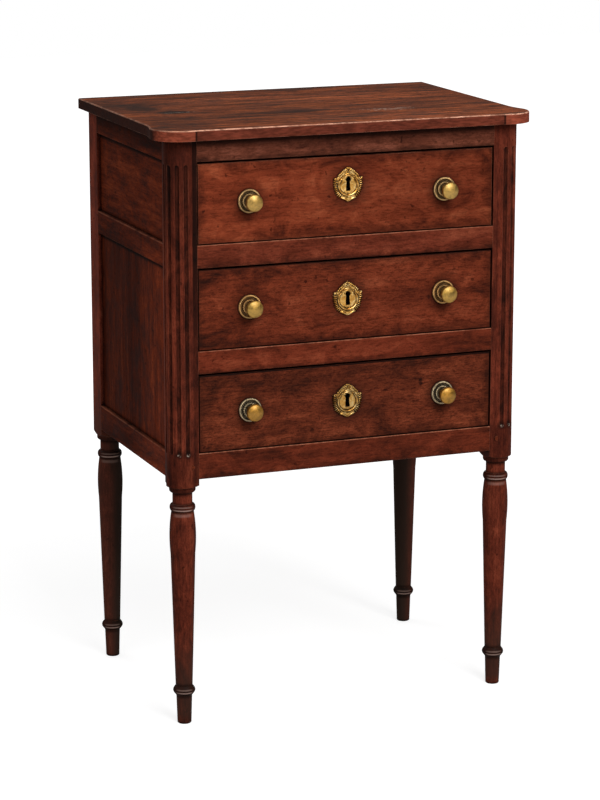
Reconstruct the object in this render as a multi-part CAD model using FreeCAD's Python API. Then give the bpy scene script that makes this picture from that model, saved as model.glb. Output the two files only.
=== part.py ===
import FreeCAD, Part
import math
import os

# A chiffonier: a small chest of three drawers on turned legs. Millimetres, +Z up.
# The front faces -Y. The origin is on the floor, in the middle of the outer box.

# Case
leg_spacing_x = 420.0  # across the front, between the axes of the legs
leg_spacing_y = 288.0  # front to back, between the axes of the legs
post_side = 32.5
column_swell = 3.35  # the rounded corner of a front post stands this proud of the post's faces
leg_clearance = 312.5  # floor to the lowest rails
bottom_rail_height = 32.0
divider_height = 28.0
top_rail_height = 27.5
opening_heights = {"lower": 98.0, "middle": 101.0, "upper": 100.0}
side_rail_thickness = 20.0
back_rail_thickness = 20.0
edge_arris = 0.8

# Top board
top_thickness = 13.0
corner_overhang = 15.4  # of the rounded front corners, past the columns
front_step = 1.5  # the straight front edge lies this far inside the corners
side_step = 6.0  # the straight side edges lie this far inside the corners
flare_lip = 1.5  # where the flare of the side edge meets the round corner
flare_reach = 39.0  # how far behind the front leg's axis the flare starts
rear_overhang = 2.5
top_arris = 1.2

# Turned leg, radii and heights
foot_radius = 8.7
ankle_radius = 9.8
foot_height = 37.5
lower_ring_radius = 14.0
lower_ring_height = 9.5
body_low_radius = 10.4
body_high_radius = 15.2
body_swell_radius = 16.1
body_top_radius = 13.8
body_swell_drop = 23.5  # the widest place, below the top of the body
body_taper_drop = 53.5  # where the straight taper ends, below the top of the body
body_runs = 2
upper_ring_radius = 15.8
upper_ring_height = 9.5
ring_bevel_share = 0.3  # each bevel of a ring takes this share of its height
neck_radius = 12.2
neck_height = 12.6
ovolo_radius = 15.6
ovolo_height = 4.0
block_drop = 15.0  # the square block reaches this far below the lowest rails
shoulder_rise = 0.72  # height of the turned shoulder for each millimetre of radius

# Flutes of the front posts
flute_count = 4
flute_pitch_deg = 32.7
flute_radius = 3.2
flute_axis_offset = 1.0  # the flute's own axis lies this far outside the column
flute_stop = 2.0  # the flutes end this far below the top rail

# Joinery
tenon_length = 14.0
tenon_shoulder = 6.0
front_tenon_inset = 8.0
tenon_clearance = 0.1
groove_depth = 5.0
panel_thickness = 8.0
panel_recess = 4.5
panel_play = 0.5  # room for the panel to move at the bottom of its groove
panel_clearance = 0.1
peg_radius = 3.4
peg_flats = 8
peg_offset = 7.0  # from the leg's axis, towards the drawers
peg_proud = 0.3
peg_depth = 28.0

# Drawer supports
runner_width = 30.0
guide_height = 20.0
stop_width = 28.0
stop_depth = 9.0
stop_height = 6.5
stop_offset = 110.0
stop_clearance = 0.2

# Drawers
drawer_setback = 1.5
drawer_side_gap = 1.2
drawer_top_gap = 2.4
drawer_bottom_gap = 0.8
runner_clearance = 0.3
drawer_rear_gap = 6.0
front_thickness = 18.0
side_thickness = 9.0
side_drop = 2.0  # the sides end this far below the top of the front
drawer_back_thickness = 9.0
drawer_back_inset = 6.0
drawer_back_drop = 6.0
housing_depth = 4.0
drawer_bottom_thickness = 6.0
drawer_bottom_rise = 9.0
drawer_groove_depth = 5.0
front_lap = 6.0  # wood left in front of the dovetails
tail_count = 3
tail_margin = 4.0
tail_flare = 2.2
tail_share = 0.56  # width of a tail's root in each dovetail pitch

# Knobs
knob_spacing = 255.0
knob_projection = 24.0
knob_head_radius = 10.5
knob_rim_height = 2.8
knob_dome_height = 5.0
knob_crown_radius = 6.4
knob_neck_radius = 4.2
shank_side = 4.6
shank_clearance = 0.1
shank_end = 2.0
rose_radius = 14.5
rose_thickness = 3.2
rose_bevel = 1.4
nut_side = 11.0
nut_thickness = 4.0

# Escutcheons, sizes from the middle of the plate
upper_keyhole_lift = 12.0  # the upper drawer's escutcheon sits above the middle of its front
escutcheon_thickness = 2.2
escutcheon_half = [
    (0.0, -20.3),  # pointed foot
    (8.2, -16.8),
    (13.6, -12.9),
    (16.3, -9.3),
    (18.0, -2.0),
    (18.7, 4.6),
    (18.2, 9.2),  # ear
    (14.2, 9.8),
    (12.0, 12.2),
    (8.0, 17.0),
    (4.8, 19.8),
    (0.0, 22.2),  # crest
]
keyhole_rise = 6.9
keyhole_radius = 3.2
keyhole_slot_top = 2.1
keyhole_slot_foot = 2.8
key_slot_margin = 0.6  # the slot behind the plate is this much wider than the keyhole

# Locks
lock_width = 46.0
lock_thickness = 9.0
lock_foot = 18.0  # the case reaches this far below the key's axis
lock_clearance = 0.1
key_cavity_depth = 5.0
bolt_width = 18.0
bolt_tail_width = 7.0
bolt_thickness = 4.0
bolt_head_height = 14.0
bolt_tail_gap = 6.0  # from the key's axis to the foot of the bolt's tail
bolt_retract = 0.4
bolt_throw = 7.0
bolt_clearance = 0.3
strike_margin = 1.5

# Places worked out from the sizes above
drawer_names = ("lower", "middle", "upper")
column_radius = post_side / 2 + column_swell
corner_radius = column_radius + corner_overhang
case_depth = leg_spacing_y + post_side
front_y = knob_projection - (knob_projection + case_depth + rear_overhang) / 2 - drawer_setback / 2
rear_y = front_y + case_depth
front_leg_y = front_y + post_side / 2
rear_leg_y = rear_y - post_side / 2
leg_x = leg_spacing_x / 2
side_x = leg_x + post_side / 2
opening_x = leg_x - post_side / 2
between_posts_y = (front_y + post_side, rear_y - post_side)

bottom_rail_z = (leg_clearance, leg_clearance + bottom_rail_height)
lower_opening_z = (bottom_rail_z[1], bottom_rail_z[1] + opening_heights["lower"])
lower_divider_z = (lower_opening_z[1], lower_opening_z[1] + divider_height)
middle_opening_z = (lower_divider_z[1], lower_divider_z[1] + opening_heights["middle"])
upper_divider_z = (middle_opening_z[1], middle_opening_z[1] + divider_height)
upper_opening_z = (upper_divider_z[1], upper_divider_z[1] + opening_heights["upper"])
top_rail_z = (upper_opening_z[1], upper_opening_z[1] + top_rail_height)
case_top = top_rail_z[1]
openings = {"lower": lower_opening_z, "middle": middle_opening_z, "upper": upper_opening_z}
front_rails = {
    "front_bottom_rail": bottom_rail_z,
    "front_lower_divider": lower_divider_z,
    "front_upper_divider": upper_divider_z,
    "front_top_rail": top_rail_z,
}
rail_above = {"lower": "front_lower_divider", "middle": "front_upper_divider", "upper": "front_top_rail"}
side_rails = {"bottom_rail": bottom_rail_z, "middle_rail": upper_divider_z, "top_rail": top_rail_z}
side_panels = {
    "lower_panel": (bottom_rail_z[1], upper_divider_z[0]),
    "upper_panel": (upper_divider_z[1], top_rail_z[0]),
}
back_rails = {"back_bottom_rail": bottom_rail_z, "back_top_rail": top_rail_z}
back_panel_z = (bottom_rail_z[1], top_rail_z[0])

side_panel_x = (-side_x + panel_recess, -side_x + panel_recess + panel_thickness)
back_panel_y = (rear_y - panel_recess - panel_thickness, rear_y - panel_recess)
panel_tongue = groove_depth - panel_play

face_y = front_y + drawer_setback
inside_y = face_y + front_thickness
drawer_x = opening_x - drawer_side_gap
drawer_inner_x = drawer_x - side_thickness
drawer_rear_y = rear_y - back_rail_thickness - drawer_rear_gap
drawer_back_y = (drawer_rear_y - drawer_back_inset - drawer_back_thickness, drawer_rear_y - drawer_back_inset)
lock_y = (inside_y - lock_thickness, inside_y)
bolt_y = (inside_y - (lock_thickness + bolt_thickness) / 2, inside_y - (lock_thickness - bolt_thickness) / 2)
strike_depth = bolt_throw - drawer_top_gap - bolt_retract + strike_margin


def vector(x, y, z):
    return FreeCAD.Vector(x, y, z)


def slab(x, y, z):
    """A box from its low and high ends along each axis."""
    return Part.makeBox(x[1] - x[0], y[1] - y[0], z[1] - z[0], vector(x[0], y[0], z[0]))


def grow(span, extra):
    return (span[0] - extra, span[1] + extra)


def both_ways(half):
    return (-half, half)


def mirrored(shape):
    return shape.mirror(vector(0, 0, 0), vector(1, 0, 0))


def pair(shape):
    """A left piece and its right twin."""
    return Part.Compound([shape, mirrored(shape)])


def line(a, b):
    return Part.LineSegment(vector(*a), vector(*b)).toShape()


def arc(a, b, c):
    return Part.Arc(vector(*a), vector(*b), vector(*c)).toShape()


def face_of(edges):
    return Part.Face(Part.Wire(edges))


def solid_of(shape):
    """The single solid of a cut or joined shape, with its faces merged where they run on."""
    merged = shape.removeSplitter()
    return merged.Solids[0] if len(merged.Solids) == 1 else merged


def outline(points):
    """Straight edges through points of radius and height in the XZ plane."""
    places = [(radius, 0, height) for radius, height in points]
    return [line(a, b) for a, b in zip(places, places[1:])]


def taper(low, high, runs):
    """A straight taper of a turned profile, drawn in short equal runs."""
    shares = [i / runs for i in range(runs + 1)]
    places = [vector(low[0] + (high[0] - low[0]) * s, 0, low[1] + (high[1] - low[1]) * s) for s in shares]
    return [Part.LineSegment(a, b).toBSpline().toShape() for a, b in zip(places, places[1:])]


def closed(points):
    """Straight edges through points and back to the first."""
    return [line(a, b) for a, b in zip(points, points[1:] + points[:1])]


def turned(edges):
    """A solid turned round the Z axis from a profile of edges in the XZ plane."""
    return face_of(edges).revolve(vector(0, 0, 0), vector(0, 0, 1), 360)


def facing_front(shape, x, y, z):
    """Lays a shape turned round Z towards the front and sets its base at a place."""
    laid = shape.copy()
    laid.rotate(vector(0, 0, 0), vector(1, 0, 0), 90)
    laid.translate(vector(x, y, z))
    return laid


def softened(shape, chosen):
    """Takes the sharpness off the edges that a test picks."""
    return shape.makeChamfer(edge_arris, [edge for edge in shape.Edges if chosen(edge)])


def lies_at(edge, y):
    return all(abs(vertex.Point.y - y) < 1e-6 for vertex in edge.Vertexes)


# Turned leg
def ring(low_radius, radius, high_radius, low, height):
    """A turned ring with bevelled edges."""
    bevel = height * ring_bevel_share
    high = low + height
    edges = outline([(low_radius, low), (radius, low + bevel), (radius, high - bevel)])
    return edges + taper((radius, high - bevel), (high_radius, high), 1)


def leg_profile():
    """The half outline of the turned part, from the floor up to the square block."""
    block_z = leg_clearance - block_drop
    neck_top = block_z - ovolo_height
    ring_top = neck_top - neck_height
    ring_low = ring_top - upper_ring_height
    body_low = foot_height + lower_ring_height
    swell_z = ring_low - body_swell_drop
    taper_z = ring_low - body_taper_drop
    edges = outline([(0, 0), (foot_radius, 0)])
    edges += taper((foot_radius, 0), (ankle_radius, foot_height), 1)
    edges += ring(ankle_radius, lower_ring_radius, body_low_radius, foot_height, lower_ring_height)
    edges += taper((body_low_radius, body_low), (body_high_radius, taper_z), body_runs)
    edges += taper((body_high_radius, taper_z), (body_swell_radius, swell_z), 1)
    edges += taper((body_swell_radius, swell_z), (body_top_radius, ring_low), 1)
    edges += ring(body_top_radius, upper_ring_radius, neck_radius, ring_low, upper_ring_height)
    edges += outline([(neck_radius, ring_top), (neck_radius, neck_top)])
    edges += taper((neck_radius, neck_top), (ovolo_radius, block_z), 1)
    edges += outline([(ovolo_radius, block_z), (0, block_z), (0, 0)])
    return edges


def shoulder_envelope():
    """The cone that the lathe leaves at the lower end of the block, and the room above it."""
    low = leg_clearance - block_drop
    reach = post_side
    high = low + (reach - ovolo_radius) * shoulder_rise
    shoulder = [(0, low), (ovolo_radius, low), (reach, high)]
    return turned(outline(shoulder + [(reach, case_top), (0, case_top), (0, low)]))


def front_block_outline():
    """Plan of the left front post round its axis: flat inside, a round column on the outer corner."""
    half = post_side / 2
    crease = math.sqrt(column_radius ** 2 - half ** 2)
    outward = column_radius * math.sqrt(0.5)
    return [
        line((half, -half, 0), (crease, -half, 0)),
        arc((crease, -half, 0), (-outward, -outward, 0), (-half, crease, 0)),
        line((-half, crease, 0), (-half, half, 0)),
        line((-half, half, 0), (half, half, 0)),
        line((half, half, 0), (half, -half, 0)),
    ]


def rear_block_outline():
    half = post_side / 2
    return closed([(-half, -half, 0), (half, -half, 0), (half, half, 0), (-half, half, 0)])


def post_round_axis(plan):
    """A square post on its turned leg, round the Z axis."""
    block = face_of(plan).extrude(vector(0, 0, case_top)).common(shoulder_envelope())
    return block.fuse(turned(leg_profile()))


def flute(angle_deg):
    """One flute of the left front post. Zero degrees faces front, 90 faces left."""
    angle = math.radians(angle_deg)
    distance = column_radius + flute_axis_offset
    x = -leg_x - distance * math.sin(angle)
    y = front_leg_y - distance * math.cos(angle)
    low = openings["lower"][0]
    high = openings["upper"][1] - flute_stop
    return Part.makeCylinder(flute_radius, high - low, vector(x, y, low))


def rail_peg():
    """The left peg through the bottom rail's tenon, whittled to flats."""
    surface = math.sqrt(column_radius ** 2 - peg_offset ** 2)
    y = front_leg_y - surface - peg_proud
    turns = [2 * math.pi * (i + 0.5) / peg_flats for i in range(peg_flats)]
    middle_x = -leg_x + peg_offset
    middle_z = sum(bottom_rail_z) / 2
    corners = [(middle_x + peg_radius * math.cos(t), y, middle_z + peg_radius * math.sin(t)) for t in turns]
    return face_of(closed(corners)).extrude(vector(0, peg_depth, 0))


# Tenons and the grooves of panels, drawn for the left side; a mortise is the tenon and its clearance
def cross_tenon(y, z, clearance=0.0):
    x = (-opening_x - tenon_length - clearance, -opening_x)
    height = grow(z, clearance - tenon_shoulder)
    return slab(x, grow(y, clearance), height)


def side_tenons(z, clearance=0.0):
    front_end = (between_posts_y[0] - tenon_length - clearance, between_posts_y[0])
    rear_end = (between_posts_y[1], between_posts_y[1] + tenon_length + clearance)
    height = grow(z, clearance - tenon_shoulder)
    return [slab(grow(side_panel_x, clearance), y, height) for y in (front_end, rear_end)]


def side_panel(z, reach, clearance=0.0):
    """A side panel let into its frame by the reach; with a clearance it is the groove's shape."""
    return slab(grow(side_panel_x, clearance), grow(between_posts_y, reach), grow(z, reach))


def back_panel(reach, clearance=0.0):
    return slab(both_ways(opening_x + reach), grow(back_panel_y, clearance), grow(back_panel_z, reach))


def front_tenon_y():
    return (front_y + front_tenon_inset, front_y + post_side - front_tenon_inset)


def side_grooves():
    return [side_panel(z, groove_depth, panel_clearance) for z in side_panels.values()]


# Posts
def front_left_post():
    post = post_round_axis(front_block_outline())
    post.translate(vector(-leg_x, front_leg_y, 0))
    diagonal_deg = 45.0
    angles = [diagonal_deg + flute_pitch_deg * (i - (flute_count - 1) / 2) for i in range(flute_count)]
    cuts = [flute(angle) for angle in angles]
    cuts += [cross_tenon(front_tenon_y(), z, tenon_clearance) for z in front_rails.values()]
    cuts += [side_tenons(z, tenon_clearance)[0] for z in side_rails.values()]
    cuts += side_grooves()
    cuts.append(rail_peg())
    return solid_of(post.cut(cuts))


def rear_left_post():
    post = post_round_axis(rear_block_outline())
    post.translate(vector(-leg_x, rear_leg_y, 0))
    cuts = [cross_tenon(back_panel_y, z, tenon_clearance) for z in back_rails.values()]
    cuts += [side_tenons(z, tenon_clearance)[1] for z in side_rails.values()]
    cuts += side_grooves()
    cuts.append(back_panel(groove_depth, panel_clearance))
    return solid_of(post.cut(cuts))


# Rails and panels
def strike_mortise(drawer):
    """The hole for a lock's bolt in the rail above its drawer."""
    low = openings[drawer][1]
    x = both_ways(bolt_width / 2 + strike_margin)
    return slab(x, grow(bolt_y, strike_margin), (low, low + strike_depth))


def front_rail(name):
    z = front_rails[name]
    rail = slab(both_ways(opening_x), (front_y, front_y + post_side), z)
    rail = softened(rail, lambda edge: lies_at(edge, front_y) and edge.Length > opening_x)
    tenon = cross_tenon(front_tenon_y(), z)
    rail = rail.fuse([tenon, mirrored(tenon)])
    strikes = [strike_mortise(drawer) for drawer in drawer_names if rail_above[drawer] == name]
    pegs = [rail_peg(), mirrored(rail_peg())] if z == bottom_rail_z else []
    cuts = strikes + pegs
    return solid_of(rail.cut(cuts) if cuts else rail)


def left_side_rail(name):
    z = side_rails[name]
    rail = slab((-side_x, -side_x + side_rail_thickness), between_posts_y, z)
    rail = rail.fuse(side_tenons(z))
    return solid_of(rail.cut(side_grooves()))


def back_rail(name):
    z = back_rails[name]
    rail = slab(both_ways(opening_x), (rear_y - back_rail_thickness, rear_y), z)
    tenon = cross_tenon(back_panel_y, z)
    rail = rail.fuse([tenon, mirrored(tenon)])
    return solid_of(rail.cut(back_panel(groove_depth, panel_clearance)))


# Top board
def top_half_outline():
    """The right half of the top's plan: straight front, round corner, flared side, half the rear."""
    front_edge = front_leg_y - corner_radius + front_step
    crease_x = leg_x - math.sqrt(corner_radius ** 2 - (corner_radius - front_step) ** 2)
    outward = corner_radius * math.sqrt(0.5)
    lip_x = leg_x + corner_radius - flare_lip
    lip_y = front_leg_y + math.sqrt(corner_radius ** 2 - (corner_radius - flare_lip) ** 2)
    edge_x = leg_x + corner_radius - side_step
    flare_y = front_leg_y + flare_reach
    rear_edge = rear_y + rear_overhang
    width = lip_x - edge_x
    length = flare_y - lip_y
    flare_radius = (width ** 2 + length ** 2) / (2 * width)
    half_turn = math.asin(length / flare_radius) / 2
    flare_out = flare_radius * (1 - math.cos(half_turn))
    flare_middle = (edge_x + flare_out, flare_y - flare_radius * math.sin(half_turn), 0)
    return [
        line((0, front_edge, 0), (crease_x, front_edge, 0)),
        arc((crease_x, front_edge, 0), (leg_x + outward, front_leg_y - outward, 0), (lip_x, lip_y, 0)),
        arc((lip_x, lip_y, 0), flare_middle, (edge_x, flare_y, 0)),
        line((edge_x, flare_y, 0), (edge_x, rear_edge, 0)),
        line((edge_x, rear_edge, 0), (0, rear_edge, 0)),
    ]


def top_board():
    half = top_half_outline()
    twin = [mirrored(edge) for edge in half]
    plan = face_of(Part.__sortEdges__(half + twin))
    plan.translate(vector(0, 0, case_top))
    board = plan.extrude(vector(0, 0, top_thickness)).removeSplitter()
    high = case_top + top_thickness
    rim = [edge for edge in board.Edges if all(abs(v.Point.z - high) < 1e-6 for v in edge.Vertexes)]
    return board.makeChamfer(top_arris, rim).Solids[0]


# Drawer supports
def left_runner(drawer):
    """The bar under a drawer's left side, between the front rail and the rear post."""
    high = openings[drawer][0]
    inner = -side_x + side_rail_thickness + runner_width
    return slab((-side_x + side_rail_thickness, inner), between_posts_y, (high - divider_height, high))


def left_guide(drawer):
    """The strip on a runner that steers the drawer's left side."""
    low = openings[drawer][0]
    return slab((-side_x + side_rail_thickness, -opening_x), between_posts_y, (low, low + guide_height))


def left_kicker():
    """The bar over the upper drawer's left side that keeps the open drawer level."""
    inner = -side_x + side_rail_thickness + runner_width
    return slab((-side_x + side_rail_thickness, inner), between_posts_y, top_rail_z)


def left_stop(drawer):
    """The block behind a drawer's front, which it meets when it is shut."""
    low = openings[drawer][0]
    x = (-stop_offset - stop_width / 2, -stop_offset + stop_width / 2)
    start = inside_y + stop_clearance
    return slab(x, (start, start + stop_depth), (low, low + stop_height))


# Drawers
def front_z(drawer):
    low, high = openings[drawer]
    return (low + drawer_bottom_gap, high - drawer_top_gap)


def side_z(drawer):
    return (openings[drawer][0] + runner_clearance, front_z(drawer)[1] - side_drop)


def drawer_bottom_z(drawer):
    low = side_z(drawer)[0] + drawer_bottom_rise
    return (low, low + drawer_bottom_thickness)


def plate_z(drawer):
    """Height of the middle of a drawer's escutcheon."""
    lift = upper_keyhole_lift if drawer == "upper" else 0.0
    return sum(openings[drawer]) / 2 + lift


def key_z(drawer):
    return plate_z(drawer) + keyhole_rise


def keyhole(drawer, y):
    """A keyhole, round above and flared below, cut through a span of depth."""
    top = key_z(drawer)
    foot = plate_z(drawer) - keyhole_rise
    slot = face_of(closed([
        (-keyhole_slot_foot, y[0], foot),
        (keyhole_slot_foot, y[0], foot),
        (keyhole_slot_top, y[0], top),
        (-keyhole_slot_top, y[0], top),
    ])).extrude(vector(0, y[1] - y[0], 0))
    eye = Part.makeCylinder(keyhole_radius, y[1] - y[0], vector(0, y[0], top), vector(0, 1, 0))
    return slot.fuse(eye)


def left_tails(drawer):
    """The dovetails at the front end of a drawer's left side."""
    low = drawer_bottom_z(drawer)[1] + tail_margin
    high = side_z(drawer)[1] - tail_margin
    pitch = (high - low) / tail_count
    root = pitch * tail_share / 2
    tip_y = face_y + front_lap
    tails = []
    for i in range(tail_count):
        middle = low + pitch * (i + 0.5)
        tail = face_of(closed([
            (-drawer_x, inside_y, middle - root),
            (-drawer_x, tip_y, middle - root - tail_flare),
            (-drawer_x, tip_y, middle + root + tail_flare),
            (-drawer_x, inside_y, middle + root),
        ]))
        tails.append(tail.extrude(vector(side_thickness, 0, 0)))
    return tails


def drawer_bottom(drawer, reach, clearance=0.0):
    """A drawer's bottom let in by the reach; with a clearance it is the groove's shape."""
    y = (inside_y - reach, drawer_back_y[1] + clearance)
    return slab(both_ways(drawer_inner_x + reach), y, grow(drawer_bottom_z(drawer), clearance))


def drawer_back(drawer, clearance=0.0):
    z = (drawer_bottom_z(drawer)[1], side_z(drawer)[1] - drawer_back_drop)
    x = both_ways(drawer_inner_x + housing_depth + clearance)
    return slab(x, grow(drawer_back_y, clearance), grow(z, clearance))


def left_drawer_side(drawer):
    side = slab((-drawer_x, -drawer_inner_x), (inside_y, drawer_rear_y), side_z(drawer))
    side = side.fuse(left_tails(drawer))
    cuts = [drawer_bottom(drawer, drawer_groove_depth, panel_clearance), drawer_back(drawer, panel_clearance)]
    return solid_of(side.cut(cuts))


def lock_pocket(drawer, clearance=0.0):
    y = (lock_y[0] - clearance, lock_y[1])
    z = (key_z(drawer) - lock_foot - clearance, front_z(drawer)[1])
    return slab(both_ways(lock_width / 2 + clearance), y, z)


def shank_hole(x, drawer):
    middle = sum(openings[drawer]) / 2
    half = shank_side / 2 + shank_clearance
    return slab((x - half, x + half), (face_y, inside_y), (middle - half, middle + half))


def key_slot(drawer, y):
    """A plain slot behind the keyhole, through a span of depth."""
    z = (plate_z(drawer) - keyhole_rise - key_slot_margin, key_z(drawer) + keyhole_radius + key_slot_margin)
    return slab(both_ways(keyhole_radius + key_slot_margin), y, z)


def drawer_front(drawer):
    front = slab(both_ways(drawer_x), (face_y, inside_y), front_z(drawer))
    front = softened(front, lambda edge: lies_at(edge, face_y))
    tails = left_tails(drawer)
    cuts = tails + [mirrored(tail) for tail in tails]
    cuts.append(drawer_bottom(drawer, drawer_groove_depth, panel_clearance))
    cuts.append(lock_pocket(drawer, lock_clearance))
    cuts.append(key_slot(drawer, (face_y, inside_y)))
    cuts += [shank_hole(x, drawer) for x in both_ways(knob_spacing / 2)]
    return solid_of(front.cut(cuts))


# Knobs, turned round their own axis with the drawer's face at zero
def shank(clearance=0.0):
    half = shank_side / 2 + clearance
    back = -(front_thickness + nut_thickness + shank_end)
    return slab(both_ways(half), both_ways(half), (back, rose_thickness))


def knob():
    rim_top = knob_projection - knob_dome_height
    rim_low = rim_top - knob_rim_height
    head = turned(outline([
        (0, rose_thickness),
        (knob_neck_radius, rose_thickness),
        (knob_neck_radius, rim_low),
        (knob_head_radius, rim_low),
        (knob_head_radius, rim_top),
        (knob_crown_radius, knob_projection),
        (0, knob_projection),
        (0, rose_thickness),
    ]))
    return solid_of(head.fuse(shank()))


def rose():
    edges = outline([(0, 0), (rose_radius, 0)])
    edges += taper((rose_radius, 0), (rose_radius - rose_bevel, rose_thickness), 1)
    edges += outline([(rose_radius - rose_bevel, rose_thickness), (0, rose_thickness), (0, 0)])
    return turned(edges).cut(shank(shank_clearance))


def nut():
    high = -front_thickness
    half = nut_side / 2
    return slab(both_ways(half), both_ways(half), (high - nut_thickness, high)).cut(shank(shank_clearance))


def on_drawer(piece, drawer):
    """The pair of a knob's piece, set on a drawer's front."""
    left = facing_front(piece, -knob_spacing / 2, face_y, sum(openings[drawer]) / 2)
    return pair(left)


# Escutcheons and locks
def escutcheon(drawer):
    """A cast plate with a crest, two ears and a pointed foot, and a keyhole through it."""
    y = face_y - escutcheon_thickness
    middle = plate_z(drawer)

    def place(point):
        return (point[0], y, middle + point[1])

    half = [line(place(a), place(b)) for a, b in zip(escutcheon_half, escutcheon_half[1:])]
    twin = [mirrored(edge) for edge in half]
    plate = face_of(Part.__sortEdges__(half + twin)).extrude(vector(0, escutcheon_thickness, 0))
    return solid_of(plate.cut(keyhole(drawer, (y, face_y))))


def bolt(drawer, clearance=0.0):
    """A bolt with a broad head and a tail for the key; with a clearance it is the channel's shape."""
    high = front_z(drawer)[1] - bolt_retract
    head_low = high - bolt_head_height
    tail_low = key_z(drawer) + bolt_tail_gap
    y = grow(bolt_y, clearance)
    room = bolt_retract if clearance else 0.0
    head = slab(both_ways(bolt_width / 2 + clearance), y, (head_low - clearance, high + room))
    tail = slab(both_ways(bolt_tail_width / 2 + clearance), y, (tail_low - clearance, head_low))
    return solid_of(head.fuse(tail))


def lock_case(drawer):
    """The case let into the back of the front, with the bolt's channel and the room for a key."""
    cavity = key_slot(drawer, (lock_y[0], lock_y[0] + key_cavity_depth))
    return solid_of(lock_pocket(drawer).cut([bolt(drawer, bolt_clearance), cavity]))


def drawer_nodes(drawer):
    side = left_drawer_side(drawer)
    reach = drawer_groove_depth - panel_play
    return {
        "front": drawer_front(drawer),
        "left_side": side,
        "right_side": mirrored(side),
        "back": drawer_back(drawer),
        "bottom": drawer_bottom(drawer, reach),
        "knobs": on_drawer(knob(), drawer),
        "knob_roses": on_drawer(rose(), drawer),
        "knob_nuts": on_drawer(nut(), drawer),
        "escutcheon": escutcheon(drawer),
        "lock_case": lock_case(drawer),
        "lock_bolt": bolt(drawer),
    }


def case_nodes():
    front_post = front_left_post()
    rear_post = rear_left_post()
    nodes = {
        "top": top_board(),
        "front_left_post": front_post,
        "front_right_post": mirrored(front_post),
        "rear_left_post": rear_post,
        "rear_right_post": mirrored(rear_post),
        "back_panel": back_panel(panel_tongue),
        "drawer_runners": Part.Compound([pair(left_runner(drawer)) for drawer in drawer_names]),
        "drawer_guides": Part.Compound([pair(left_guide(drawer)) for drawer in drawer_names]),
        "drawer_stops": Part.Compound([pair(left_stop(drawer)) for drawer in drawer_names]),
        "top_kickers": pair(left_kicker()),
        "rail_pegs": pair(rail_peg()),
    }
    for name in front_rails:
        nodes[name] = front_rail(name)
    for name in back_rails:
        nodes[name] = back_rail(name)
    for name in side_rails:
        rail = left_side_rail(name)
        nodes["left_" + name] = rail
        nodes["right_" + name] = mirrored(rail)
    for name, z in side_panels.items():
        panel = side_panel(z, panel_tongue)
        nodes["left_" + name] = panel
        nodes["right_" + name] = mirrored(panel)
    return nodes


all_nodes = case_nodes()
for drawer in drawer_names:
    for name, shape in drawer_nodes(drawer).items():
        all_nodes[drawer + "_drawer_" + name] = shape

os.makedirs("parts", exist_ok=True)
for name, shape in all_nodes.items():
    shape.exportStep("parts/" + name + ".step")
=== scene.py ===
import math
from functools import partial, reduce

import bmesh
import bpy
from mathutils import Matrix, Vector


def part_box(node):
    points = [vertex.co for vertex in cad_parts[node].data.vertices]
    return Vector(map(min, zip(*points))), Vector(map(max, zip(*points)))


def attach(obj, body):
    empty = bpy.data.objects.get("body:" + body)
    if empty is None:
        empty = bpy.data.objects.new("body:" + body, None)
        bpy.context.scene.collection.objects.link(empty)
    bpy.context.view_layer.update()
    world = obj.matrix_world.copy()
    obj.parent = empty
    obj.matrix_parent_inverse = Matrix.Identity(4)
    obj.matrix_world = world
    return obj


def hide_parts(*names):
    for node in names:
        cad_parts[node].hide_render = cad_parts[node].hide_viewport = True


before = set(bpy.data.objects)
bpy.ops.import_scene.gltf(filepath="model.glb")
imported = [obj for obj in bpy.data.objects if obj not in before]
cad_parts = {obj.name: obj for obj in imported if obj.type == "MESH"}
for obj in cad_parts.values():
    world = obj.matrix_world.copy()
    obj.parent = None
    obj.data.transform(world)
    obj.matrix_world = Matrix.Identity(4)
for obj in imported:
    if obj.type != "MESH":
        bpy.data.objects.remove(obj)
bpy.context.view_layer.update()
MM = 0.001
DRAWERS = ("upper", "middle", "lower")


# Camera, in metres; its lens and sensor are in millimetres
CAMERA_PLACE = (-1.3281, -3.3626, 1.2044)
CAMERA_YAW = math.radians(21.501)
CAMERA_PITCH = math.radians(13.111)
CAMERA_LENS = 130.7
SENSOR_WIDTH = 36.0

# Studio, in metres: each lamp has a name, a place, a size and a power in watts
LAMPS = (
    ("key_lamp", (0.3, -2.45, 2.3), 1.4, 64.0),
    ("fill_lamp", (-2.4, -1.8, 1.9), 1.6, 11.0),
    ("back_lamp", (-1.6, 2.4, 2.2), 1.5, 14.0))
LAMP_TARGET = Vector((0.0, 0.0, 0.42))
SKY_LEVELS = (0.05, 0.5)  # light from low down and from overhead
FLOOR_REACH = 14.0
FLOOR_TONES = ((168, 168, 168), (176, 176, 176))
FLOOR_GLOW = (0.76, 1.0)  # lifts the floor to white, less near the piece
FLOOR_GLOW_REACH = (0.3, 2.0)
FLOOR_MIRRORED = 0.75  # share of it that metal mirrors in front of the piece
FLOOR_MIRRORED_Y = (-1.0, 0.4)

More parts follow.
